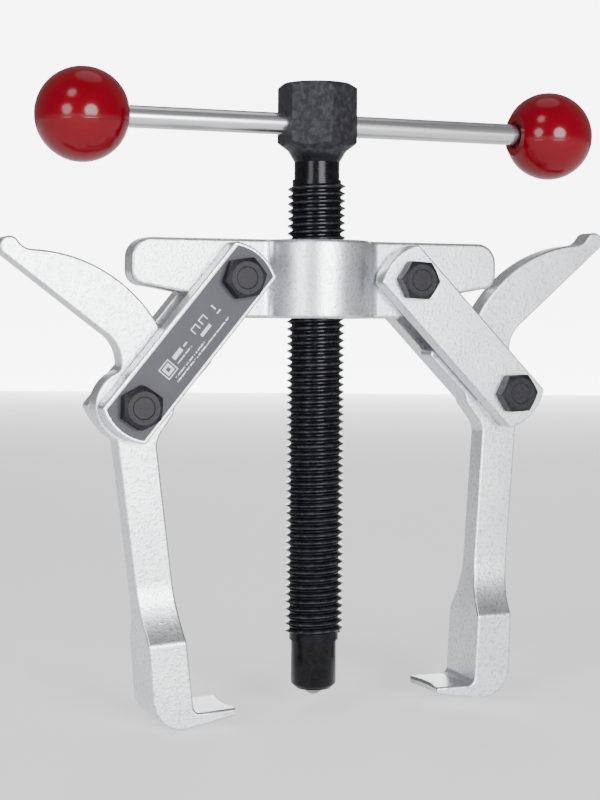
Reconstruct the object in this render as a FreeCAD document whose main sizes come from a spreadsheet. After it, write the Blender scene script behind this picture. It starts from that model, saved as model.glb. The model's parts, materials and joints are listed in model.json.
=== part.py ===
import FreeCAD, Part
import math
import os
import Sketcher

# Two-arm self-tightening gear puller, millimetres.
# Frame: +Z up along the spindle, +X along the crossbeam, -Y towards the side with the rating label.
# The origin is on the spindle's axis where the tip's chamfer begins; the thrust ball stands out below.

SIZES = {
    # spindle, heights above the origin
    "ball_dia": 6.0,
    "ball_drop": 0.3,
    "tip_dia": 12.3,
    "tip_len": 11.8,
    "tip_chamfer": 1.4,
    "thread_dia": 15.8,
    "thread_pitch": 2.0,
    "thread_depth": 1.2,
    "thread_root": 0.15,
    "thread_len": 125.0,
    "neck_dia": 12.4,
    "neck_len": 4.8,
    "cone_len": 3.2,
    "cone_dia": 16.2,
    "hex_across": 19.0,
    "hex_height": 18.2,
    "hex_top_dia": 18.16,
    "hex_top_slope": 0.62,
    "hex_low_dia": 16.2,
    "hex_low_slope": 0.75,
    "bar_height": 7.0,
    # tommy bar and its knobs
    "bar_dia": 6.0,
    "knob_span": 137.6,
    "bar_past_knob": 5.0,
    "bar_shift": 3.1,
    "bar_chamfer": 0.6,
    "knob_dia": 25.0,
    "knob_flat": 11.0,
    "knob_mouth_dia": 8.0,
    "knob_mouth_depth": 0.9,
    # crossbeam
    "beam_rise": 99.1,
    "beam_half_len": 53.3,
    "beam_thick": 7.8,
    "beam_height": 21.2,
    "beam_top_radius": 5.5,
    "beam_low_radius": 4.0,
    "beam_edge_radius": 1.0,
    "beam_end_drop": 12.8,
    "beam_mid_drop": 14.7,
    "beam_slope_start": 23.0,
    "beam_slope_end": 38.5,
    "hub_dia": 30.0,
    "hub_blend": 3.0,
    "hub_mouth": 1.0,
    "pivot_half_span": 25.2,
    "pivot_drop": 10.6,
    "boss_dia": 16.8,
    "boss_proud": 0.5,
    # link plates
    "link_pitch": 43.5,
    "link_width": 15.0,
    "link_thick": 5.8,
    "link_end": 6.3,
    "link_end_radius": 13.9,
    "link_corner": 1.0,
    "link_edge": 0.5,
    "label_inset": 0.9,
    "label_thick": 0.25,
    # bolts and nuts
    "bolt_dia": 6.0,
    "bolt_across": 10.0,
    "bolt_head": 4.2,
    "bolt_face_dia": 8.6,
    "bolt_face_slope": 0.55,
    "bolt_dish_dia": 6.0,
    "bolt_dish_deep": 0.25,
    "nut_height": 4.6,
    "nut_face_dia": 9.5,
    "nut_collar": 1.4,
    "nut_collar_dia": 8.8,
    "bolt_beyond_nut": 1.5,
    # clearances
    "thread_gap": 0.08,
    "pin_gap": 0.05,
    "ball_gap": 0.05,
    "link_gap": 0.1,
    # pose at rest, degrees
    "link_angle_left": 39.5,
    "link_angle_right": 44.5,
    "hook_tilt_left": 3.5,
    "beam_bolt_turn_left": 50.0,
    "hook_bolt_turn_left": 33.0,
    "beam_bolt_turn_right": 4.0,
    "hook_bolt_turn_right": 57.0,
    # hook, measured from its pivot: out is away from the spindle
    "hook_thick": 7.2,
    "hook_eye_radius": 9.8,
    "eye_low_angle": 62.0,
    "eye_high_angle": 70.0,
    "horn_tip_past": 2.4,
    "horn_tip_proud": 0.9,
    "horn_tip_radius": 2.6,
    "horn_tip_from": 48.0,
    "horn_tip_over": 66.0,
    "horn_tip_to": 35.0,
    "notch_radius": 4.9,
    "cam_lead": 3.3,
    "cam_centre_up": 1.6,
    "cam_clear": 1.0,
    "cam_high_before": 3.1,
    "cam_low_up": 17.5,
    "cam_foot_radius": 4.7,
    "nose_root_past": 2.55,
    "nose_root_up": 14.1,
    "nose_top_in": 21.0,
    "nose_top_up": 12.1,
    "nose_in": 22.3,
    "nose_up": 9.6,
    "nose_radius": 1.6,
    "web_low_in": 11.8,
    "web_low_down": 0.6,
    "web_corner_in": 11.2,
    "web_corner_down": 3.2,
    "armpit_in": 8.1,
    "armpit_down": 7.1,
    "armpit_radius": 6.5,
    "neck_out": 2.3,
    "neck_up": 10.7,
    "neck_radius": 1.6,
    "throat_up": 12.0,
    "throat_radius": 9.5,
    "horn_root_out": 6.5,
    "horn_root_up": 19.6,
    "arm_top_in": 6.3,
    "arm_top_out": 4.4,
    "arm_top_down": 10.0,
    "arm_inner_down": 11.5,
    "arm_low_in": 8.8,
    "arm_low_out": 1.5,
    "arm_low_down": 50.0,
    "foot_in": 10.0,
    "foot_out": 0.6,
    "foot_back_down": 58.0,
    "foot_down": 62.0,
    "foot_width": 18.0,
    "foot_flare": 16.0,
    "toe_root_in": 10.9,
    "toe_root_radius": 2.0,
    "toe_down": 81.0,
    "toe_reach": 22.3,
    "toe_tip_thick": 2.0,
    "toe_hollow_radius": 30.0,
    "toe_hollow_depth": 1.1,
    "sole_mid_in": 14.0,
    "sole_mid_down": 84.3,
    "heel_in": 8.0,
    "heel_down": 85.0,
    "heel_up_down": 75.5,
    "heel_out": 0.1,
    "heel_radius": 8.6,
}


class Size:
    """A length that carries its value and the expression that ties it to the sheet."""

    def __init__(self, value, text):
        self.value = value
        self.text = text

    def __add__(self, other):
        other = as_size(other)
        return Size(self.value + other.value, f"({self.text} + {other.text})")

    def __sub__(self, other):
        other = as_size(other)
        return Size(self.value - other.value, f"({self.text} - {other.text})")

    def __mul__(self, other):
        other = as_size(other)
        return Size(self.value * other.value, f"({self.text} * {other.text})")

    def __truediv__(self, other):
        other = as_size(other)
        return Size(self.value / other.value, f"({self.text} / {other.text})")

    def __rtruediv__(self, other):
        return as_size(other) / self

    def __neg__(self):
        return Size(-self.value, f"(-1 * {self.text})")

    def __radd__(self, other):
        return as_size(other) + self

    def __rsub__(self, other):
        return as_size(other) - self

    def __rmul__(self, other):
        return as_size(other) * self

    def sin(self):
        return Size(math.sin(math.radians(self.value)), f"sin({self.text} * 1 deg)")

    def cos(self):
        return Size(math.cos(math.radians(self.value)), f"cos({self.text} * 1 deg)")


def as_size(value):
    if isinstance(value, Size):
        return value
    return Size(float(value), f"({float(value)})")


def root(value):
    return Size(math.sqrt(value.value), f"sqrt({value.text})")


doc = FreeCAD.newDocument("gear_puller")
sheet = doc.addObject("Spreadsheet::Sheet", "sizes")
for row, (alias, number) in enumerate(SIZES.items(), start=1):
    sheet.set(f"A{row}", alias)
    sheet.set(f"B{row}", str(number))
    sheet.setAlias(f"B{row}", alias)
doc.recompute()


def s(alias):
    """The sheet's value of this name, as a Size."""
    return Size(float(sheet.get(alias)), f"sizes.{alias}")


# ---------------------------------------------------------------- helpers

def new_body(name):
    body = doc.addObject("PartDesign::Body", name)
    body.Label = name
    return body


def new_sketch(body, role, name, lift=None):
    """A sketch on one of the body's own origin planes, lifted along the plane's normal."""
    sketch = body.newObject("Sketcher::SketchObject", name)
    planes = [f for f in body.Origin.OriginFeatures if f.Role == role]
    sketch.AttachmentSupport = [(planes[0], "")]
    sketch.MapMode = "FlatFace"
    if lift is not None:
        sketch.AttachmentOffset = FreeCAD.Placement(
            FreeCAD.Vector(0, 0, lift.value), FreeCAD.Rotation())
        sketch.setExpression("AttachmentOffset.Base.z", lift.text)
    return sketch


def bind(sketch, kind, refs, size):
    """Adds one measured constraint and ties it to the sheet."""
    index = sketch.addConstraint(Sketcher.Constraint(kind, *refs, size.value))
    sketch.setExpression(f"Constraints[{index}]", size.text)


def pin_point(sketch, geo, pos, x, y):
    """Holds a point of the sketch at x, y from the sketch's origin."""
    for kind, axis, size in (("DistanceX", -2, x), ("DistanceY", -1, y)):
        size = as_size(size)
        if abs(size.value) < 1e-9:
            sketch.addConstraint(Sketcher.Constraint("PointOnObject", geo, pos, axis))
        else:
            bind(sketch, kind, (-1, 1, geo, pos), size)


def vector(x, y):
    return FreeCAD.Vector(as_size(x).value, as_size(y).value, 0)


def arc_between(a, b, radius, left):
    """The arc from a to b; left is True where it bulges to the right of a to b, so turns left."""
    chord = b - a
    half = chord.Length / 2
    reach = math.sqrt(max(radius * radius - half * half, 0.0))
    normal = FreeCAD.Vector(-chord.y, chord.x, 0).normalize()
    centre = (a + b) * 0.5 + normal * (reach if left else -reach)
    first, last = (a, b) if left else (b, a)
    start = math.atan2(first.y - centre.y, first.x - centre.x)
    end = math.atan2(last.y - centre.y, last.x - centre.x)
    circle = Part.Circle(centre, FreeCAD.Vector(0, 0, 1), radius)
    return Part.ArcOfCircle(circle, start, end)


def draw_loop(sketch, corners):
    """Closed outline. A corner is (x, y), or (x, y, radius, left) where an arc leads to the next one."""
    ends = []
    for corner, following in zip(corners, corners[1:] + corners[:1]):
        a = vector(*corner[:2])
        b = vector(*following[:2])
        if len(corner) == 2:
            geo = sketch.addGeometry(Part.LineSegment(a, b))
            ends.append((geo, 1, 2))
            continue
        radius, left = corner[2:]
        geo = sketch.addGeometry(arc_between(a, b, as_size(radius).value, left))
        ends.append((geo, 1, 2) if left else (geo, 2, 1))
    for (geo, start, _), (before, _, end), corner in zip(ends, ends[-1:] + ends[:-1], corners):
        sketch.addConstraint(Sketcher.Constraint("Coincident", geo, start, before, end))
        pin_point(sketch, geo, start, *corner[:2])
    for (geo, _, _), corner in zip(ends, corners):
        if len(corner) == 4:
            bind(sketch, "Radius", (geo,), as_size(corner[2]))


def draw_circle(sketch, x, y, radius):
    circle = Part.Circle(vector(x, y), FreeCAD.Vector(0, 0, 1), radius.value)
    geo = sketch.addGeometry(circle)
    pin_point(sketch, geo, 3, x, y)
    bind(sketch, "Radius", (geo,), radius)


def hexagon(across, flat_along_x):
    """Corners of a hexagon of this width across its flats, centred on the sketch's origin."""
    side = across / root(as_size(3))
    half = across / 2
    if flat_along_x:
        return [(side, 0), (side / 2, half), (-side / 2, half),
                (-side, 0), (-side / 2, -half), (side / 2, -half)]
    return [(half, -side / 2), (half, side / 2), (0, side),
            (-half, side / 2), (-half, -side / 2), (0, -side)]


def pad(body, sketch, length, name, middle=False, back=False):
    feature = body.newObject("PartDesign::Pad", name)
    feature.Profile = sketch
    feature.Length = length.value
    feature.setExpression("Length", length.text)
    feature.Midplane = middle
    feature.Reversed = back
    return feature


def pocket(body, sketch, length, name, middle=False, back=False):
    feature = body.newObject("PartDesign::Pocket", name)
    feature.Profile = sketch
    feature.Length = length.value
    feature.setExpression("Length", length.text)
    feature.Midplane = middle
    feature.Reversed = back
    return feature


def turned(body, kind, sketch, name, axis="V_Axis"):
    feature = body.newObject(kind, name)
    feature.Profile = sketch
    feature.ReferenceAxis = (sketch, [axis])
    feature.Angle = 360
    return feature


def dress(body, kind, size, name, wanted):
    """Rounds (Fillet) or chamfers the edges of the body's last feature that wanted() picks."""
    doc.recompute()
    base = body.Tip
    picked = [f"Edge{i}" for i, edge in enumerate(base.Shape.Edges, start=1) if wanted(edge)]
    feature = body.newObject(kind, name)
    feature.Base = (base, picked)
    prop = "Radius" if kind.endswith("Fillet") else "Size"
    setattr(feature, prop, size.value)
    feature.setExpression(prop, size.text)
    body.Tip = feature
    return feature


def place(obj, x=0, y=0, z=0, turn=None, axis=(0, 1, 0)):
    """Puts a sub-part where the sizes say: the origin at x, y, z, turned about axis."""
    x, y, z = as_size(x), as_size(y), as_size(z)
    turn = as_size(0) if turn is None else turn
    if turn.value < 0:
        turn = -turn
        axis = [-number for number in axis]
    obj.Placement = FreeCAD.Placement(
        FreeCAD.Vector(x.value, y.value, z.value),
        FreeCAD.Rotation(FreeCAD.Vector(*axis), turn.value))
    obj.setExpression("Placement.Base.x", x.text)
    obj.setExpression("Placement.Base.y", y.text)
    obj.setExpression("Placement.Base.z", z.text)
    if turn.value:
        obj.setExpression("Placement.Rotation.Angle", f"{turn.text} * 1 deg")


# ---------------------------------------------------------------- shared places

overcut = as_size(1)    # how far a cutting outline runs past the face that it cuts
tip_face = -s("tip_chamfer")
thread_low = s("tip_len")
thread_high = thread_low + s("thread_len")
neck_high = thread_high + s("neck_len")
hex_low = neck_high + s("cone_len")
hex_high = hex_low + s("hex_height")
bar_axis = hex_low + s("bar_height")

beam_low = s("beam_rise")
beam_top = beam_low + s("beam_height")
pivot_height = beam_top - s("pivot_drop")
boss_thick = s("beam_thick") + 2 * s("boss_proud")
plate_inner = boss_thick / 2 + s("link_gap")
plate_outer = plate_inner + s("link_thick")
pin_hole = s("bolt_dia") / 2 + s("pin_gap")

# the hook's cam edge is an arc that the beam's rounded corner runs along as the link swings
cam_x = s("beam_half_len") - s("beam_low_radius") - s("pivot_half_span") + s("cam_lead")
cam_y = s("cam_centre_up")
cam_r = s("link_pitch") - s("beam_low_radius") + s("cam_clear")
horn_tip_up = cam_y + cam_r + s("horn_tip_proud")


# ---------------------------------------------------------------- spindle

def make_spindle():
    """Hex-headed forcing screw: turned blank, hexagon with a cross hole, V grooves at the thread's pitch."""
    crest_r = s("thread_dia") / 2
    core_r = crest_r - s("thread_depth")
    tip_r = s("tip_dia") / 2
    neck_r = s("neck_dia") / 2
    body = new_body("spindle")
    sketch = new_sketch(body, "XZ_Plane", "spindle_outline")
    draw_loop(sketch, [
        (0, tip_face),
        (tip_r - s("tip_chamfer"), tip_face),
        (tip_r, 0),
        (tip_r, thread_low),
        (core_r, thread_low),
        (crest_r, thread_low + s("thread_depth")),
        (crest_r, thread_high - s("thread_depth")),
        (core_r, thread_high),
        (neck_r, thread_high),
        (neck_r, neck_high),
        (s("cone_dia") / 2, hex_low),
        (s("cone_dia") / 2, bar_axis),
        (0, bar_axis),
    ])
    turned(body, "PartDesign::Revolution", sketch, "spindle_turning")
    sketch = new_sketch(body, "XY_Plane", "head_hexagon", hex_low)
    draw_loop(sketch, hexagon(s("hex_across"), flat_along_x=False))
    pad(body, sketch, s("hex_height"), "head_pad")

    # the head's corners are turned away at the top and towards the neck
    past_r = s("hex_across") / root(as_size(3)) + overcut
    for name, edge, step in (("top", hex_high, -1), ("low", hex_low, 1)):
        sketch = new_sketch(body, "XZ_Plane", f"head_trim_{name}")
        face_r = s(f"hex_{name}_dia") / 2
        draw_loop(sketch, [
            (face_r, edge - step * overcut),
            (face_r, edge),
            (past_r, edge + step * (past_r - face_r) * s(f"hex_{name}_slope")),
            (past_r, edge - step * overcut),
        ])
        turned(body, "PartDesign::Groove", sketch, f"head_chamfer_{name}")

    sketch = new_sketch(body, "YZ_Plane", "bar_hole_circle")
    draw_circle(sketch, 0, bar_axis, s("bar_dia") / 2 + s("pin_gap"))
    pocket(body, sketch, 2 * s("hex_across"), "bar_hole", middle=True)

    # round seat that holds the thrust ball past its middle
    seat_r = s("ball_dia") / 2 + s("ball_gap")
    depth = s("tip_chamfer") - s("ball_drop")
    sketch = new_sketch(body, "XZ_Plane", "ball_seat_outline")
    draw_loop(sketch, [
        (0, tip_face),
        (root(seat_r * seat_r - depth * depth), tip_face, seat_r, True),
        (0, seat_r - s("ball_drop")),
    ])
    turned(body, "PartDesign::Groove", sketch, "ball_seat")

    # the thread is cut as rings, one V groove repeated at every pitch
    groove_low = thread_low + 2 * s("thread_depth")
    half_mouth = s("thread_root") + s("thread_depth") / root(as_size(3))
    sketch = new_sketch(body, "XZ_Plane", "groove_outline")
    draw_loop(sketch, [
        (core_r, groove_low - s("thread_root")),
        (crest_r + overcut, groove_low - half_mouth - overcut / root(as_size(3))),
        (crest_r + overcut, groove_low + half_mouth + overcut / root(as_size(3))),
        (core_r, groove_low + s("thread_root")),
    ])
    groove = turned(body, "PartDesign::Groove", sketch, "thread_groove")
    run = s("thread_len") - 4 * s("thread_depth")
    count = math.floor(run.value / s("thread_pitch").value) + 1
    pattern = body.newObject("PartDesign::LinearPattern", "thread_grooves")
    pattern.Originals = [groove]
    pattern.Direction = (sketch, ["V_Axis"])
    pattern.Occurrences = count
    pattern.Length = s("thread_pitch").value * (count - 1)
    pattern.setExpression("Length", (s("thread_pitch") * (count - 1)).text)
    body.Tip = pattern
    return body


def make_thrust_ball():
    """Hardened ball pressed into the spindle's end."""
    ball = doc.addObject("Part::Sphere", "thrust_ball")
    ball.Label = "thrust_ball"
    ball.Radius = s("ball_dia").value / 2
    ball.setExpression("Radius", (s("ball_dia") / 2).text)
    place(ball, z=-s("ball_drop"))
    return ball


# ---------------------------------------------------------------- tommy bar

def make_bar():
    body = new_body("tommy_bar")
    sketch = new_sketch(body, "YZ_Plane", "bar_circle")
    draw_circle(sketch, 0, 0, s("bar_dia") / 2)
    pad(body, sketch, s("knob_span") + 2 * s("bar_past_knob"), "bar_rod", middle=True)
    dress(body, "PartDesign::Chamfer", s("bar_chamfer"), "bar_ends", is_circle)
    place(body, x=s("bar_shift"), z=bar_axis)
    return body


def is_circle(edge):
    return hasattr(edge.Curve, "Radius") and edge.Closed


def make_knob(name, side):
    """Moulded ball knob: a flat with a recessed mouth faces the spindle, the bar ends inside."""
    body = new_body(name)
    ball_r = s("knob_dia") / 2
    flat = s("knob_flat")
    hole_r = s("bar_dia") / 2 + s("pin_gap")
    mouth_r = s("knob_mouth_dia") / 2
    mouth = flat - s("knob_mouth_depth")
    sketch = new_sketch(body, "XY_Plane", "knob_outline")
    outline = [
        (-s("bar_past_knob"), 0),
        (-s("bar_past_knob"), hole_r),
        (mouth, hole_r),
        (mouth, mouth_r),
        (flat, mouth_r),
        (flat, root(ball_r * ball_r - flat * flat), ball_r, True),
        (-ball_r, 0),
    ]
    draw_loop(sketch, outline if side < 0 else mirrored(outline))
    turned(body, "PartDesign::Revolution", sketch, "knob_turning", axis="H_Axis")
    place(body, x=s("bar_shift") + side * s("knob_span") / 2, z=bar_axis)
    return body


# ---------------------------------------------------------------- crossbeam

def make_crossbeam():
    """Forged beam: flat arms that narrow towards their ends, a barrel hub and four pivot bosses."""
    body = new_body("crossbeam")
    half = s("beam_half_len")
    top_r = s("beam_top_radius")
    low_r = s("beam_low_radius")
    top = beam_top
    end_low = top - s("beam_end_drop")
    mid_low = top - s("beam_mid_drop")
    right = [
        (s("beam_slope_start"), beam_low),
        (s("beam_slope_end"), mid_low),
        (half - low_r, end_low, low_r, True),
        (half, end_low + low_r),
        (half, top - top_r, top_r, True),
        (half - top_r, top),
    ]
    left = [
        (-(half - top_r), top, top_r, True),
        (-half, top - top_r),
        (-half, end_low + low_r, low_r, True),
        (-(half - low_r), end_low),
        (-s("beam_slope_end"), mid_low),
        (-s("beam_slope_start"), beam_low),
    ]
    sketch = new_sketch(body, "XZ_Plane", "beam_outline")
    draw_loop(sketch, right + left)
    pad(body, sketch, s("beam_thick"), "beam_arms", middle=True)
    sketch = new_sketch(body, "XY_Plane", "hub_circle", beam_low)
    draw_circle(sketch, 0, 0, s("hub_dia") / 2)
    pad(body, sketch, s("beam_height"), "hub_barrel")
    hub_r = s("hub_dia").value / 2
    dress(body, "PartDesign::Fillet", s("hub_blend"), "hub_blends",
          lambda edge: edge.BoundBox.ZLength > 10 and abs(edge.BoundBox.XMin) < hub_r)
    dress(body, "PartDesign::Fillet", s("beam_edge_radius"), "beam_edges",
          lambda edge: is_rim(edge, beam_low.value, beam_top.value))

    for number, side in enumerate((-1, 1), start=1):
        sketch = new_sketch(body, "XZ_Plane", f"boss_circle_{number}")
        draw_circle(sketch, side * s("pivot_half_span"), pivot_height, s("boss_dia") / 2)
        pad(body, sketch, boss_thick, f"boss_{number}", middle=True)
    for number, side in enumerate((-1, 1), start=1):
        sketch = new_sketch(body, "XZ_Plane", f"pivot_circle_{number}")
        draw_circle(sketch, side * s("pivot_half_span"), pivot_height, pin_hole)
        pocket(body, sketch, 2 * boss_thick, f"pivot_hole_{number}", middle=True)
    sketch = new_sketch(body, "XY_Plane", "spindle_hole_circle", beam_low)
    bore = s("thread_dia") / 2 + s("thread_gap")
    draw_circle(sketch, 0, 0, bore)
    pocket(body, sketch, 3 * s("beam_height"), "spindle_hole", middle=True)
    dress(body, "PartDesign::Chamfer", s("hub_mouth"), "hub_mouths",
          lambda edge: is_circle(edge) and abs(edge.Curve.Radius - bore.value) < 1e-4)
    return body


def is_rim(edge, low, high):
    """True for an edge of the beam's outline: flat across Y, or level with the hub's two ends."""
    box = edge.BoundBox
    level = box.ZLength < 1e-6 and min(abs(box.ZMin - low), abs(box.ZMin - high)) < 1e-4
    return box.YLength < 1e-6 and box.ZLength < 10 or level and box.XLength > 1e-6


# ---------------------------------------------------------------- links

def link_outline(inset):
    """Straight-sided plate with bowed ends: the upper hole is the origin, the lower one hangs below."""
    full = s("link_width") / 2
    half = full - inset
    end_r = s("link_end_radius")
    bow = end_r - inset
    rise = s("link_end") - root(end_r * end_r - full * full) + root(bow * bow - half * half)
    pitch = s("link_pitch")
    return [
        (half, rise, bow, True),
        (-half, rise),
        (-half, -pitch - rise, bow, True),
        (half, -pitch - rise),
    ]


def cut_bolt_holes(body, thick):
    for number, drop in enumerate((as_size(0), s("link_pitch")), start=1):
        sketch = new_sketch(body, "XZ_Plane", f"hole_circle_{number}")
        draw_circle(sketch, 0, -drop, pin_hole)
        pocket(body, sketch, 2 * thick, f"hole_{number}", middle=True)


def make_link_plate(name, side, front):
    body = new_body(name)
    sketch = new_sketch(body, "XZ_Plane", "plate_outline")
    draw_loop(sketch, link_outline(as_size(0)))
    pad(body, sketch, s("link_thick"), "plate", middle=True)
    dress(body, "PartDesign::Fillet", s("link_corner"), "plate_corners",
          lambda edge: edge.BoundBox.XLength < 1e-6 and edge.BoundBox.ZLength < 1e-6)
    dress(body, "PartDesign::Fillet", s("link_edge"), "plate_edges",
          lambda edge: abs(edge.BoundBox.YLength) < 1e-6)
    cut_bolt_holes(body, s("link_thick"))
    middle = plate_inner + s("link_thick") / 2
    place(body, x=side * s("pivot_half_span"), y=-middle if front else middle, z=pivot_height,
          turn=-side * link_angle(side))
    return body


def make_label(side):
    """Thin rating plate on the front link, running under the bolt heads."""
    body = new_body("label_plate")
    sketch = new_sketch(body, "XZ_Plane", "label_outline")
    draw_loop(sketch, link_outline(s("label_inset")))
    pad(body, sketch, s("label_thick"), "label_sheet", middle=True)
    cut_bolt_holes(body, s("label_thick"))
    place(body, x=side * s("pivot_half_span"), y=-(plate_outer + s("label_thick") / 2), z=pivot_height,
          turn=-side * link_angle(side))
    return body


def link_angle(side):
    return s("link_angle_right") if side > 0 else s("link_angle_left")


def hook_pivot(side):
    """Where the hook's bolt is, from the link's swing at rest."""
    angle = link_angle(side)
    x = side * (s("pivot_half_span") + s("link_pitch") * angle.sin())
    return x, pivot_height - s("link_pitch") * angle.cos()


# ---------------------------------------------------------------- bolts and nuts

def make_bolt(name, x, z, lift, turn):
    """Hexagon bolt along Y: its head bears on the front plate, its end stands out of the nut."""
    body = new_body(name)
    head = s("bolt_head")
    sketch = new_sketch(body, "XZ_Plane", "head_hexagon")
    draw_loop(sketch, hexagon(s("bolt_across"), flat_along_x=True))
    pad(body, sketch, head, "head")
    past_r = s("bolt_across") / root(as_size(3)) + overcut
    face_r = s("bolt_face_dia") / 2
    sketch = new_sketch(body, "YZ_Plane", "head_trim")
    draw_loop(sketch, [
        (-head - overcut, face_r),
        (-head, face_r),
        (-head + (past_r - face_r) * s("bolt_face_slope"), past_r),
        (-head - overcut, past_r),
    ])
    turned(body, "PartDesign::Groove", sketch, "head_chamfer", axis="H_Axis")
    sketch = new_sketch(body, "YZ_Plane", "head_dish")
    draw_loop(sketch, [
        (-head - overcut, 0),
        (-head + s("bolt_dish_deep"), 0),
        (-head + s("bolt_dish_deep"), s("bolt_dish_dia") / 2 - s("bolt_dish_deep")),
        (-head, s("bolt_dish_dia") / 2),
        (-head - overcut, s("bolt_dish_dia") / 2),
    ])
    turned(body, "PartDesign::Groove", sketch, "head_hollow", axis="H_Axis")
    sketch = new_sketch(body, "XZ_Plane", "shank_circle")
    draw_circle(sketch, 0, 0, s("bolt_dia") / 2)
    stack = 2 * plate_outer + lift + s("nut_height") + s("nut_collar") + s("bolt_beyond_nut")
    pad(body, sketch, stack, "shank", back=True)
    end = stack.value
    dress(body, "PartDesign::Chamfer", s("bar_chamfer"), "shank_end",
          lambda edge: is_circle(edge) and abs(edge.BoundBox.YMax - end) < 1e-4)
    place(body, x=x, y=-(plate_outer + lift), z=z, turn=turn)
    return body


def make_nut(name, x, z, turn):
    """Self-locking nut: hexagon with a round collar, seated on the back plate."""
    body = new_body(name)
    height = s("nut_height")
    sketch = new_sketch(body, "XZ_Plane", "nut_hexagon")
    draw_loop(sketch, hexagon(s("bolt_across"), flat_along_x=True))
    pad(body, sketch, height, "hexagon", back=True)
    sketch = new_sketch(body, "XZ_Plane", "collar_circle")
    draw_circle(sketch, 0, 0, s("nut_collar_dia") / 2)
    pad(body, sketch, height + s("nut_collar"), "collar", back=True)
    past_r = s("bolt_across") / root(as_size(3)) + overcut
    face_r = s("nut_face_dia") / 2
    for number, (edge, step) in enumerate(((as_size(0), 1), (height, -1)), start=1):
        sketch = new_sketch(body, "YZ_Plane", f"nut_trim_{number}")
        draw_loop(sketch, [
            (edge - step * overcut, face_r),
            (edge, face_r),
            (edge + step * (past_r - face_r) * s("bolt_face_slope"), past_r),
            (edge - step * overcut, past_r),
        ])
        turned(body, "PartDesign::Groove", sketch, f"nut_chamfer_{number}", axis="H_Axis")
    collar_r = s("nut_collar_dia").value / 2
    dress(body, "PartDesign::Fillet", s("nut_collar") / 2, "collar_round",
          lambda e: is_circle(e) and abs(e.Curve.Radius - collar_r) < 1e-4
          and e.BoundBox.YMax > height.value + 0.1)
    sketch = new_sketch(body, "XZ_Plane", "thread_circle")
    draw_circle(sketch, 0, 0, pin_hole)
    pocket(body, sketch, 4 * height, "bore", middle=True)
    place(body, x=x, y=plate_outer, z=z, turn=turn)
    return body


# ---------------------------------------------------------------- hooks

def hook_outline(side):
    """Outline round the hook, anticlockwise for the right one: out is away from the spindle."""
    tip_out = cam_x + s("horn_tip_past")
    tip_up = horn_tip_up
    tip_r = s("horn_tip_radius")
    eye = s("hook_eye_radius")
    cam_rise = s("cam_low_up") - cam_y
    cam_in = s("cam_high_before")
    cam_low_x = cam_x - root(cam_r * cam_r - cam_rise * cam_rise)
    toe_r = s("toe_root_radius")
    toe = -s("toe_down")
    eye_low, eye_high = s("eye_low_angle"), s("eye_high_angle")
    tip_from, tip_over, tip_to = s("horn_tip_from"), s("horn_tip_over"), s("horn_tip_to")
    points = [
        (s("foot_out"), -s("foot_back_down")),
        (s("arm_low_out"), -s("arm_low_down")),
        (s("arm_top_out"), -s("arm_top_down")),
        (eye * eye_low.cos(), -(eye * eye_low.sin()), eye, True),
        (eye * eye_high.cos(), eye * eye_high.sin(), s("neck_radius"), False),
        (s("neck_out"), s("neck_up")),
        (s("neck_out"), s("throat_up"), s("throat_radius"), False),
        (s("horn_root_out"), s("horn_root_up")),
        (tip_out + tip_r * tip_from.cos(), tip_up - tip_r * tip_from.sin(), tip_r, True),
        (tip_out + tip_r * tip_over.cos(), tip_up + tip_r * tip_over.sin(), tip_r, True),
        (tip_out - tip_r * tip_to.cos(), tip_up + tip_r * tip_to.sin(), s("notch_radius"), False),
        (cam_x - cam_in, cam_y + root(cam_r * cam_r - cam_in * cam_in), cam_r, True),
        (cam_low_x, s("cam_low_up"), s("cam_foot_radius"), False),
        (cam_low_x - s("nose_root_past"), s("nose_root_up")),
        (-s("nose_top_in"), s("nose_top_up"), s("nose_radius"), True),
        (-s("nose_in"), s("nose_up")),
        (-s("web_low_in"), -s("web_low_down")),
        (-s("web_corner_in"), -s("web_corner_down")),
        (-s("armpit_in"), -s("armpit_down"), s("armpit_radius"), False),
        (-s("arm_top_in"), -s("arm_inner_down")),
        (-s("arm_low_in"), -s("arm_low_down")),
        (-s("foot_in"), -s("foot_down")),
        (-s("toe_root_in"), toe + toe_r, toe_r, False),
        (-s("toe_root_in") - toe_r, toe),
        (-s("toe_reach"), toe),
        (-s("toe_reach"), toe - s("toe_tip_thick")),
        (-s("sole_mid_in"), -s("sole_mid_down")),
        (-s("heel_in"), -s("heel_down"), s("heel_radius"), True),
        (s("heel_out"), -s("heel_up_down")),
    ]
    if side > 0:
        return points
    return mirrored(points)


def mirrored(points):
    """The same outline on the other side of x = 0, still anticlockwise."""
    flipped = []
    count = len(points)
    for index in range(count - 1, -1, -1):
        x, y = points[index][:2]
        corner = (-as_size(x), y)
        before = points[index - 1]
        if len(before) == 4:
            corner = corner + (before[2], before[3])
        flipped.append(corner)
    return flipped


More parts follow.
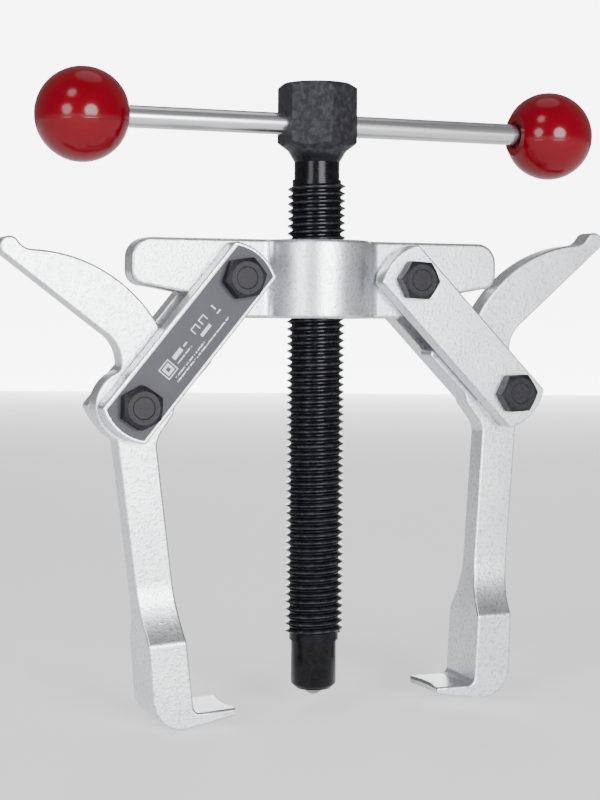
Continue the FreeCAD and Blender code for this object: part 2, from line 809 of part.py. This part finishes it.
def make_hook(name, side):
    """Forged hook: horn, cam edge and web between the links, slim arm, wide foot and thin toe."""
    body = new_body(name)
    sketch = new_sketch(body, "XZ_Plane", "hook_outline")
    draw_loop(sketch, hook_outline(side))
    pad(body, sketch, s("foot_width"), "hook_block", middle=True)

    # both flanks are cut back to the arm's thickness, and flare out to the foot
    wide = s("foot_width") / 2
    thin = s("hook_thick") / 2
    flare_high = s("foot_down") - s("foot_flare")
    flare_r = ((wide - thin) * (wide - thin) + s("foot_flare") * s("foot_flare")) / 2 / (wide - thin)
    clear = horn_tip_up + 2 * s("horn_tip_radius")
    for number, flank in enumerate((-1, 1), start=1):
        sketch = new_sketch(body, "YZ_Plane", f"flank_{number}")
        corners = [
            (thin, clear),
            (thin, -flare_high, flare_r, True),
            (wide, -s("foot_down")),
            (wide + overcut, -s("foot_down")),
            (wide + overcut, clear),
        ]
        if flank < 0:
            corners = mirrored(corners)
        draw_loop(sketch, corners)
        pocket(body, sketch, 6 * horn_tip_up, f"flank_cut_{number}", middle=True)

    sketch = new_sketch(body, "XZ_Plane", "eye_boss_circle")
    draw_circle(sketch, 0, 0, s("boss_dia") / 2)
    pad(body, sketch, boss_thick, "eye_boss", middle=True)
    sketch = new_sketch(body, "XZ_Plane", "eye_circle")
    draw_circle(sketch, 0, 0, pin_hole)
    pocket(body, sketch, 2 * boss_thick, "eye_hole", middle=True)

    # the toe's end is hollowed to follow a round hub
    sketch = new_sketch(body, "XY_Plane", "toe_hollow_circle", -s("toe_down"))
    hollow = s("toe_hollow_radius")
    draw_circle(sketch, -side * (s("toe_reach") - s("toe_hollow_depth") + hollow), 0, hollow)
    pocket(body, sketch, 8 * s("toe_tip_thick"), "toe_hollow", middle=True)

    x, z = hook_pivot(side)
    place(body, x=x, z=z, turn=as_size(0) if side > 0 else -s("hook_tilt_left"))
    return body


# ---------------------------------------------------------------- the whole puller

def build():
    nodes = [
        make_crossbeam(),
        make_spindle(),
        make_thrust_ball(),
        make_bar(),
        make_knob("ball_knob_left", -1),
        make_knob("ball_knob_right", 1),
        make_label(-1),
    ]
    for word, side in (("left", -1), ("right", 1)):
        nodes.append(make_link_plate(f"link_front_{word}", side, front=True))
        nodes.append(make_link_plate(f"link_back_{word}", side, front=False))
        nodes.append(make_hook(f"hook_{word}", side))
        lift = s("label_thick") if side < 0 else as_size(0)
        x, z = hook_pivot(side)
        beam_turn, hook_turn = s(f"beam_bolt_turn_{word}"), s(f"hook_bolt_turn_{word}")
        span = side * s("pivot_half_span")
        nodes.append(make_bolt(f"beam_bolt_{word}", span, pivot_height, lift, beam_turn))
        nodes.append(make_bolt(f"hook_bolt_{word}", x, z, lift, hook_turn))
        nodes.append(make_nut(f"beam_nut_{word}", span, pivot_height, beam_turn))
        nodes.append(make_nut(f"hook_nut_{word}", x, z, hook_turn))
    return nodes


def check(nodes):
    """Stops before anything is written if a feature failed or a sub-part isn't one sound solid."""
    doc.recompute()
    for obj in doc.Objects:
        if "Invalid" in obj.State or "Error" in obj.State:
            raise RuntimeError(f"{obj.Name}: {obj.State} {obj.getStatusString()}")
    for node in nodes:
        shape = node.Shape
        if shape.isNull() or not shape.isValid() or len(shape.Solids) != 1:
            raise RuntimeError(f"{node.Label}: not one valid solid")


nodes = build()
check(nodes)
os.makedirs("parts", exist_ok=True)
for node in nodes:
    node.Shape.exportStep(f"parts/{node.Label}.step")
    print(node.Label, round(node.Shape.Volume, 1))
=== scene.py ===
import json
import math

import bmesh
import bpy
from mathutils import Matrix, Vector


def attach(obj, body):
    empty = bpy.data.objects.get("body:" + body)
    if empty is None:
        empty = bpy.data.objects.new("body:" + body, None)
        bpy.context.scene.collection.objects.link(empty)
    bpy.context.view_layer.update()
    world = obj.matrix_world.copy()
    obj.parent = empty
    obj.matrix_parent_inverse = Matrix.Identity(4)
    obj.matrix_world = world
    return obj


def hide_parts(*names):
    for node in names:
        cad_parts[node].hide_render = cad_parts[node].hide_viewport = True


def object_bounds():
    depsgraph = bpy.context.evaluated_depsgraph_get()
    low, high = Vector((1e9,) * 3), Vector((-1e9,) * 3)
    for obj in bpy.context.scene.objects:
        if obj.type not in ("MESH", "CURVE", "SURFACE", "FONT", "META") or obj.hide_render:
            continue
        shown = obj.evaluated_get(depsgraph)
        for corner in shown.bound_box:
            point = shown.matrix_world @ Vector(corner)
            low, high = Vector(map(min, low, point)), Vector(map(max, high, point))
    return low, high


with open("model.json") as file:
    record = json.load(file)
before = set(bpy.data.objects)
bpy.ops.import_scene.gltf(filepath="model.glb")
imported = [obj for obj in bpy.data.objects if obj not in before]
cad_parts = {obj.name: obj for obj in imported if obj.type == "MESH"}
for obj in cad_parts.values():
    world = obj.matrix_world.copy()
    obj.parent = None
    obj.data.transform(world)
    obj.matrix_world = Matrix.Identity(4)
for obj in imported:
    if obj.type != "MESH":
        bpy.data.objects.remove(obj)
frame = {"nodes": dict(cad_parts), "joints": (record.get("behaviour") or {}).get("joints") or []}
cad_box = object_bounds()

# Looks of a two-arm gear puller. Metres, in the CAD's frame: +Z up along the screw, +X along the
# crossbeam, -Y towards the label. The hooks are rounded copies of the CAD's, the screw's ringed
# rod gives way to a true helical thread, and everything else is the CAD's own solids.

MM = 0.001
PITCH = 2.0 * MM
THREAD_LOW = 11.8 * MM
THREAD_HIGH = 136.8 * MM
CREST_R = 7.9 * MM
ROOT_R = 6.7 * MM
BAR_HEIGHT = 151.8 * MM
BEAM_PIVOT = Vector((25.2 * MM, 0, 109.7 * MM))
LABEL_LEAN = math.radians(39.5)
LABEL_HALF_WIDTH = 6.6 * MM
LABEL_RIM = 0.18 * MM
SEAM_DROP = 2.2 * MM
SEAM_HALF_WIDTH = 0.16 * MM
SEAM_FLOOR = 0.04 * MM
FORGED_ROUND = 0.65 * MM
EYE_BOSS_R = 8.55 * MM
TOE_BELOW_PIVOT = 70 * MM
TOE_HOLLOW = 1.9 * MM
HEAD_LOW = 144.4 * MM
HAIR = 0.05 * MM
ROD_R = 9.4 * MM
JOIN_WITHIN = 0.001 * MM
FLAT_WITHIN = math.radians(0.6)
FORGED_EDGE = math.radians(32)
VIEW_TURN = math.radians(22.2)
BACKDROP_AWAY = 1.8


# ---------------------------------------------------------------- shader writing

class Signal:
    """A number running through a material, written with ordinary arithmetic."""

    def __init__(self, finish, socket):
        self.finish = finish
        self.socket = socket

    def math(self, operation, *terms):
        return self.finish.node("ShaderNodeMath", {"operation": operation}, dict(enumerate(terms)))

    def __add__(self, other):
        return self.math("ADD", self, other)

    def __sub__(self, other):
        return self.math("SUBTRACT", self, other)

    def __mul__(self, other):
        return self.math("MULTIPLY", self, other)

    def __radd__(self, other):
        return self.math("ADD", other, self)

    def __rsub__(self, other):
        return self.math("SUBTRACT", other, self)

    def __rmul__(self, other):
        return self.math("MULTIPLY", other, self)

    def __abs__(self):
        return self.math("ABSOLUTE", self)

    def above(self, edge):
        return self.math("GREATER_THAN", self, edge)

    def below(self, edge):
        return self.math("LESS_THAN", self, edge)

    def either(self, other):
        return self.math("MAXIMUM", self, other)

    def hypot(self, other):
        return self.math("SQRT", self * self + other * other)

    def ramp(self, low, high):
        """0 at low, 1 at high, held flat beyond them."""
        settings = {"data_type": "FLOAT", "interpolation_type": "LINEAR"}
        values = {"Value": self, "From Min": low, "From Max": high}
        return self.finish.node("ShaderNodeMapRange", settings, values)


class Finish:
    """A material built round one Principled shader."""

    def __init__(self, name, **constants):
        self.material = bpy.data.materials.new(name)
        self.material.use_nodes = True
        self.tree = self.material.node_tree
        self.shader = self.tree.nodes["Principled BSDF"]
        for socket, value in constants.items():
            self.shader.inputs[socket.replace("_", " ")].default_value = value
        self.place = self.node("ShaderNodeTexCoord", {}, {}, "Object")

    def node(self, kind, settings, values, output=0):
        made = self.tree.nodes.new(kind)
        for key, setting in settings.items():
            setattr(made, key, setting)
        for key, value in values.items():
            if isinstance(value, Signal):
                self.tree.links.new(value.socket, made.inputs[key])
            else:
                made.inputs[key].default_value = value
        return Signal(self, made.outputs[output])

    def axes(self):
        """X, Y and Z of the place on the piece, in metres."""
        return [self.node("ShaderNodeSeparateXYZ", {}, {"Vector": self.place}, axis) for axis in "XYZ"]

    def noise(self, size, detail=3.0, roughness=0.5, stretch=(1, 1, 1)):
        """Cloudy noise from 0 to 1 whose blotches are about this size in metres."""
        spread = self.node("ShaderNodeMapping", {}, {"Vector": self.place, "Scale": stretch})
        values = {"Vector": spread, "Scale": 1 / size, "Detail": detail, "Roughness": roughness}
        return self.node("ShaderNodeTexNoise", {}, values)

    def blend(self, share, first, second):
        """Colour first where share is 0, second where it is 1."""
        settings = {"data_type": "RGBA"}
        first = (*first, 1) if isinstance(first, tuple) else first
        second = (*second, 1) if isinstance(second, tuple) else second
        return self.node("ShaderNodeMix", settings, {0: share, 6: first, 7: second}, 2)

    def bump(self, height, strength, depth):
        values = {"Height": height, "Strength": strength, "Distance": depth}
        self.set("Normal", self.node("ShaderNodeBump", {}, values))

    def set(self, socket, value):
        self.tree.links.new(value.socket, self.shader.inputs[socket])


# ---------------------------------------------------------------- finishes

def plated_finish():
    """Blasted and zinc-plated forging: satin, faintly blue, with a fine grain."""
    finish = Finish("plated_forging", Metallic=1.0)
    grain = finish.noise(0.45 * MM, detail=4.0, roughness=0.65)
    cloud = finish.noise(9 * MM, detail=3.0)
    speck = finish.noise(0.8 * MM, detail=3.0).ramp(0.48, 0.7)
    base = finish.blend(cloud.ramp(0.3, 0.7), (0.70, 0.715, 0.745), (0.79, 0.80, 0.82))
    finish.set("Base Color", finish.blend(speck * 0.8, base, (0.44, 0.46, 0.50)))
    finish.set("Roughness", 0.24 + 0.14 * grain + 0.06 * cloud)
    finish.bump(grain * 0.7 + speck * 0.3, 0.6, 0.1 * MM)
    return finish.material


def black_finish(name, crest_light_inside, crest_light_outside):
    """Black oxide made lighter outwards from this distance from the screw's axis: partly real rubbing
    wear on the crests, partly a painted highlight for the bright lines the crests catch.
    """
    finish = Finish(name, Metallic=0.0, Specular_IOR_Level=0.14)
    x, y, z = finish.axes()
    head = z.above(HEAD_LOW)
    # painted highlight mixed with wear: the thread's crests and everything further out are coloured
    # lighter
    crest_wear_and_highlight = x.hypot(y).ramp(crest_light_inside, crest_light_outside)
    scuff = finish.noise(1.6 * MM, detail=5.0, roughness=0.6).ramp(0.42, 0.7)
    grain = finish.noise(0.5 * MM, detail=3.0)
    share = crest_wear_and_highlight * (0.3 + 0.7 * scuff) + 0.12 * scuff
    finish.set("Base Color", finish.blend(share, (0.003, 0.003, 0.004), (0.036, 0.036, 0.043)))
    finish.set("Roughness", 0.17 + 0.1 * grain + 0.22 * head)
    finish.bump(grain + scuff * 0.5, 0.2, 0.05 * MM)
    return finish.material


def bolt_finish():
    """Black bolts with the faint mottled face that cold forging leaves."""
    finish = Finish("bolt_black", Metallic=0.0, Specular_IOR_Level=0.25)
    mottle = finish.noise(0.9 * MM, detail=5.0, roughness=0.7)
    base = finish.blend(mottle.ramp(0.4, 0.7), (0.004, 0.004, 0.006), (0.020, 0.018, 0.022))
    finish.set("Base Color", base)
    finish.set("Roughness", 0.34 + 0.2 * mottle)
    finish.bump(mottle, 0.5, 0.12 * MM)
    return finish.material


def bright_finish(name, dull, clean):
    """Steel with fine lines along the bar, from the dull to the clean grey."""
    finish = Finish(name, Metallic=1.0)
    lines = finish.noise(0.4 * MM, detail=3.0, stretch=(0.02, 1, 1))
    finish.set("Base Color", finish.blend(lines, (dull, dull, dull + 0.02), (clean, clean, clean + 0.02)))
    finish.set("Roughness", 0.16 + 0.16 * lines)
    finish.bump(lines, 0.12, 0.03 * MM)
    return finish.material


def knob_finish():
    """Deep red moulded plastic, polished, with a hair-fine mould seam round the middle."""
    finish = Finish("knob_red", Specular_IOR_Level=0.25)
    _, _, z = finish.axes()
    seam = abs(z - BAR_HEIGHT + SEAM_DROP).ramp(SEAM_HALF_WIDTH, SEAM_FLOOR)
    haze = finish.noise(6 * MM, detail=2.0)
    finish.set("Base Color", finish.blend(haze, (0.12, 0.0, 0.004), (0.15, 0.0, 0.006)))
    finish.set("Roughness", 0.12 + 0.06 * haze)
    finish.bump(seam, 0.5, 0.04 * MM)
    return finish.material


def label_finish():
    """Dark anodised sheet with a silver rim and plain pale marks where a maker's print would be."""
    finish = Finish("label_sheet", Metallic=0.1, Specular_IOR_Level=0.3)
    x, _, z = finish.axes()
    # down runs along the link from the beam's bolt, over runs across it towards the screw
    down = (x + BEAM_PIVOT.x) * -math.sin(LABEL_LEAN) + (z - BEAM_PIVOT.z) * -math.cos(LABEL_LEAN)
    over = (x + BEAM_PIVOT.x) * math.cos(LABEL_LEAN) + (z - BEAM_PIVOT.z) * -math.sin(LABEL_LEAN)

    def bar(down_from, down_to, over_from, over_to):
        inside = (down - down_from * MM) * (down_to * MM - down)
        across = (over - over_from * MM) * (over_to * MM - over)
        return inside.above(0) * across.above(0)

    def square(down_at, over_at, half, half_line):
        away = abs(down - down_at * MM).either(abs(over - over_at * MM))
        return abs(away - half * MM).below(half_line * MM)

    marks = square(31.2, -0.3, 1.8, 0.14).either(square(31.2, -0.3, 0.9, 0.35))
    # each mark is down from, down to, over from, over to, in millimetres
    blocks = [(24.8, 28.2, -1.6, -0.4), (22.6, 24.0, -1.2, -0.8)]
    blocks += [(17.4, 19.6, -2.3, -2.0), (17.4, 17.7, -2.0, -0.5), (19.3, 19.6, -2.0, -0.5)]
    blocks += [(14.2, 16.4, -2.3, -2.0), (14.2, 14.5, -2.0, -0.5), (16.1, 16.4, -2.0, -0.5)]
    blocks += [(15.0, 18.8, 0.6, 1.5), (10.8, 11.2, -2.0, -0.4), (10.2, 11.6, 0.4, 0.8)]
    for corners in blocks:
        marks = marks.either(bar(*corners))
    letters = finish.noise(0.55 * MM, detail=2.0).above(0.47)
    print_lines = bar(22.5, 28.4, 0.5, 0.85)
    for corners in ((19.5, 31.5, 2.5, 2.9), (10.0, 32.0, 3.5, 3.9)):
        print_lines = print_lines.either(bar(*corners))
    marks = marks.either(print_lines * letters)
    rim = abs(over).above(LABEL_HALF_WIDTH - LABEL_RIM)
    shade = finish.noise(5 * MM, detail=3.0)
    sheet = finish.blend(shade, (0.034, 0.034, 0.044), (0.048, 0.048, 0.060))
    sheet = finish.blend(marks * 0.8, sheet, (0.62, 0.62, 0.64))
    finish.set("Base Color", finish.blend(rim, sheet, (0.75, 0.76, 0.78)))
    finish.set("Roughness", 0.42 - 0.1 * marks)
    finish.bump(finish.noise(0.3 * MM), 0.1, 0.03 * MM)
    return finish.material


def matt(name, colour, glow=0.0):
    finish = Finish(name, Base_Color=(*colour, 1), Roughness=0.9, Emission_Color=(1, 1, 1, 1))
    finish.shader.inputs["Emission Strength"].default_value = glow
    return finish.material


# ---------------------------------------------------------------- pieces

def new_piece(name, mesh_maker, material, body):
    """A new object at the origin, its place in its mesh, riding on one CAD body."""
    mesh = bpy.data.meshes.new(name)
    bm = bmesh.new()
    mesh_maker(bm)
    bm.to_mesh(mesh)
    bm.free()
    mesh.materials.append(material)
    mesh.shade_smooth()
    piece = bpy.data.objects.new(name, mesh)
    bpy.context.scene.collection.objects.link(piece)
    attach(piece, body)
    return piece


def merged_copy(bm, node):
    """The CAD node's mesh with its triangles joined up, flat faces made whole again."""
    bm.from_mesh(frame["nodes"][node].data)
    bmesh.ops.remove_doubles(bm, verts=bm.verts, dist=JOIN_WITHIN)
    bmesh.ops.dissolve_limit(bm, angle_limit=FLAT_WITHIN, verts=bm.verts, edges=bm.edges)


def keep_creases(piece, degrees):
    piece.data.set_sharp_from_angle(angle=math.radians(degrees))


def rounded_hook(node, body, material):
    """The forged hook with its edges rounded over; the eye's boss and the toe's end stay crisp."""
    pivot = next(Vector(j["pos_m"]) for j in frame["joints"] if j["child"] == body)

    def shape(bm):
        merged_copy(bm, node)

        def in_eye(vert):
            return math.hypot(vert.co.x - pivot.x, vert.co.z - pivot.z) < EYE_BOSS_R

        low = pivot.z - TOE_BELOW_PIVOT
        toe_end = min(abs(vert.co.x) for vert in bm.verts if vert.co.z < low) + TOE_HOLLOW

        def in_toe_end(vert):
            return vert.co.z < low and abs(vert.co.x) < toe_end

        def forged_edge(edge):
            if len(edge.link_faces) != 2 or edge.calc_face_angle(0) < FORGED_EDGE:
                return False
            crisp = all(in_eye(vert) for vert in edge.verts)
            return not crisp and not all(in_toe_end(vert) for vert in edge.verts)

        edges = [edge for edge in bm.edges if forged_edge(edge)]
        bmesh.ops.bevel(bm, geom=edges, offset=FORGED_ROUND, offset_type="OFFSET", segments=3,
                        profile=0.5, affect="EDGES", clamp_overlap=True, material=-1)
        bmesh.ops.recalc_face_normals(bm, faces=bm.faces)

    piece = new_piece(f"{node}_forging", shape, material, body)
    keep_creases(piece, 50)
    weighted = piece.modifiers.new("even_shading", "WEIGHTED_NORMAL")
    weighted.keep_sharp = True
    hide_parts(node)


def screw_ends(material):
    """The screw's plain tip and its neck and head, cut from the CAD's spindle."""
    def shape(bm):
        merged_copy(bm, "spindle")
        inside = [face for face in bm.faces
                  if THREAD_LOW + HAIR < face.calc_center_median().z < THREAD_HIGH - HAIR
                  and math.hypot(*face.calc_center_median().xy) < ROD_R]
        bmesh.ops.delete(bm, geom=inside, context="FACES")

    piece = new_piece("screw_ends", shape, material, "spindle")
    keep_creases(piece, 30)
    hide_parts("spindle")


def screw_thread(material):
    """One V ridge wound up a plain core, closed at both ends."""
    turns = 61
    steps = 44
    run_out = (THREAD_HIGH - THREAD_LOW - turns * PITCH) / 2
    sunk = 0.2 * MM
    flat = 0.14 * MM
    wide = 0.95 * MM

    def shape(bm):
        start = THREAD_LOW + run_out
        corners = [(ROOT_R - sunk, -wide), (CREST_R, -flat), (CREST_R, flat), (ROOT_R - sunk, wide)]
        verts = [bm.verts.new((radius, 0, start + rise)) for radius, rise in corners]
        face = bm.faces.new(verts)
        count = turns * steps
        wound = bmesh.ops.spin(bm, geom=list(face.edges) + verts, cent=(0, 0, 0), axis=(0, 0, 1),
                               dvec=(0, 0, PITCH / steps), angle=math.tau * turns, steps=count)
        last = [item for item in wound["geom_last"] if isinstance(item, bmesh.types.BMEdge)]
        bmesh.ops.contextual_create(bm, geom=last)
        bmesh.ops.recalc_face_normals(bm, faces=bm.faces)
        core = bmesh.ops.create_cone(bm, cap_ends=True, segments=64, radius1=ROOT_R, radius2=ROOT_R,
                                     depth=THREAD_HIGH - THREAD_LOW)
        bmesh.ops.translate(bm, verts=core["verts"], vec=(0, 0, (THREAD_HIGH + THREAD_LOW) / 2))

    piece = new_piece("screw_thread", shape, material, "spindle")
    keep_creases(piece, 25)


def paint(nodes, material):
    """Gives CAD nodes a finish."""
    for name in nodes:
        node = frame["nodes"][name]
        for slot in node.material_slots:
            slot.material = material
        if not node.material_slots:
            node.data.materials.append(material)


plated = plated_finish()
black = black_finish("screw_black", 7.0 * MM, 7.85 * MM)
bright = bright_finish("drawn_steel", 0.60, 0.72)
both = ("left", "right")

paint(["crossbeam"], plated)
paint([f"link_{place}_{side}" for place in ("front", "back") for side in both], plated)
paint([f"{end}_bolt_{side}" for end in ("beam", "hook") for side in both], bolt_finish())
paint([f"{end}_nut_{side}" for end in ("beam", "hook") for side in both], bright)
paint(["tommy_bar"], bright)
paint(["thrust_ball"], bright_finish("ball_steel", 0.26, 0.34))
paint(["ball_knob_left", "ball_knob_right"], knob_finish())
paint(["label_plate"], label_finish())
for side in both:
    rounded_hook(f"hook_{side}", f"hook_{side}", plated)
screw_ends(black)
screw_thread(black)


# ---------------------------------------------------------------- studio

def slab(name, size, place, turn, material):
    """A flat sheet of the studio, facing along its own Z."""
    mesh = bpy.data.meshes.new(name)
    bm = bmesh.new()
    bmesh.ops.create_grid(bm, x_segments=1, y_segments=1, size=size / 2)
    bmesh.ops.transform(bm, verts=bm.verts, matrix=Matrix.Translation(place) @ turn)
    bm.to_mesh(mesh)
    bm.free()
    mesh.materials.append(material)
    sheet = bpy.data.objects.new(name, mesh)
    bpy.context.scene.collection.objects.link(sheet)


def lamp(name, place, size, power, target):
    light = bpy.data.lights.new(name, "AREA")
    light.shape = "DISK"
    light.size = size
    light.energy = power
    holder = bpy.data.objects.new(name, light)
    bpy.context.scene.collection.objects.link(holder)
    aim = (Vector(target) - Vector(place)).to_track_quat("-Z", "Y")
    holder.matrix_world = Matrix.Translation(place) @ aim.to_matrix().to_4x4()


def set_world(strength):
    world = bpy.data.worlds.new("studio")
    bpy.context.scene.world = world
    world.use_nodes = True
    backdrop = world.node_tree.nodes["Background"]
    backdrop.inputs["Color"].default_value = (1, 1, 1, 1)
    backdrop.inputs["Strength"].default_value = strength


def set_camera():
    """Level with the beam's underside, turned towards the label side, long lens."""
    away = 0.490
    height = 0.1025
    roll = math.radians(0.42)
    data = bpy.data.cameras.new("camera")
    data.lens = 80.8
    data.sensor_width = 36.0
    data.sensor_fit = "AUTO"
    data.shift_x = -0.0199
    data.shift_y = -0.1175
    data.clip_start = 0.01
    data.clip_end = 20
    camera = bpy.data.objects.new("camera", data)
    bpy.context.scene.collection.objects.link(camera)
    place = Vector((-away * math.sin(VIEW_TURN), -away * math.cos(VIEW_TURN), height))
    camera.matrix_world = (Matrix.Translation(place) @ Matrix.Rotation(-VIEW_TURN, 4, "Z")
                           @ Matrix.Rotation(math.radians(90), 4, "X")
                           @ Matrix.Rotation(roll, 4, "Z"))
    bpy.context.scene.camera = camera


middle = (0, 0, 0.08)
floor_height = cad_box[0][2] - 0.5 * MM
facing_back = Matrix.Rotation(-VIEW_TURN, 4, "Z") @ Matrix.Rotation(math.radians(90), 4, "X")
behind = (BACKDROP_AWAY * math.sin(VIEW_TURN), BACKDROP_AWAY * math.cos(VIEW_TURN), 0)
slab("floor", 6, (0, 0, floor_height), Matrix.Identity(4), matt("floor_pale", (0.92, 0.92, 0.92), 0.5))
slab("backdrop", 1.15, behind, facing_back, matt("backdrop_pale", (0.9, 0.9, 0.9), 6.0))
lamp("front", (0.08, -1.5, 0.22), 0.8, 34, middle)
lamp("front_left", (-1.2, -0.9, 0.3), 0.6, 10, middle)
lamp("key", (-0.7, -0.6, 1.0), 0.4, 3, middle)
lamp("top", (0.1, 0.1, 1.0), 0.6, 0.8, middle)
set_world(0.3)
set_camera()
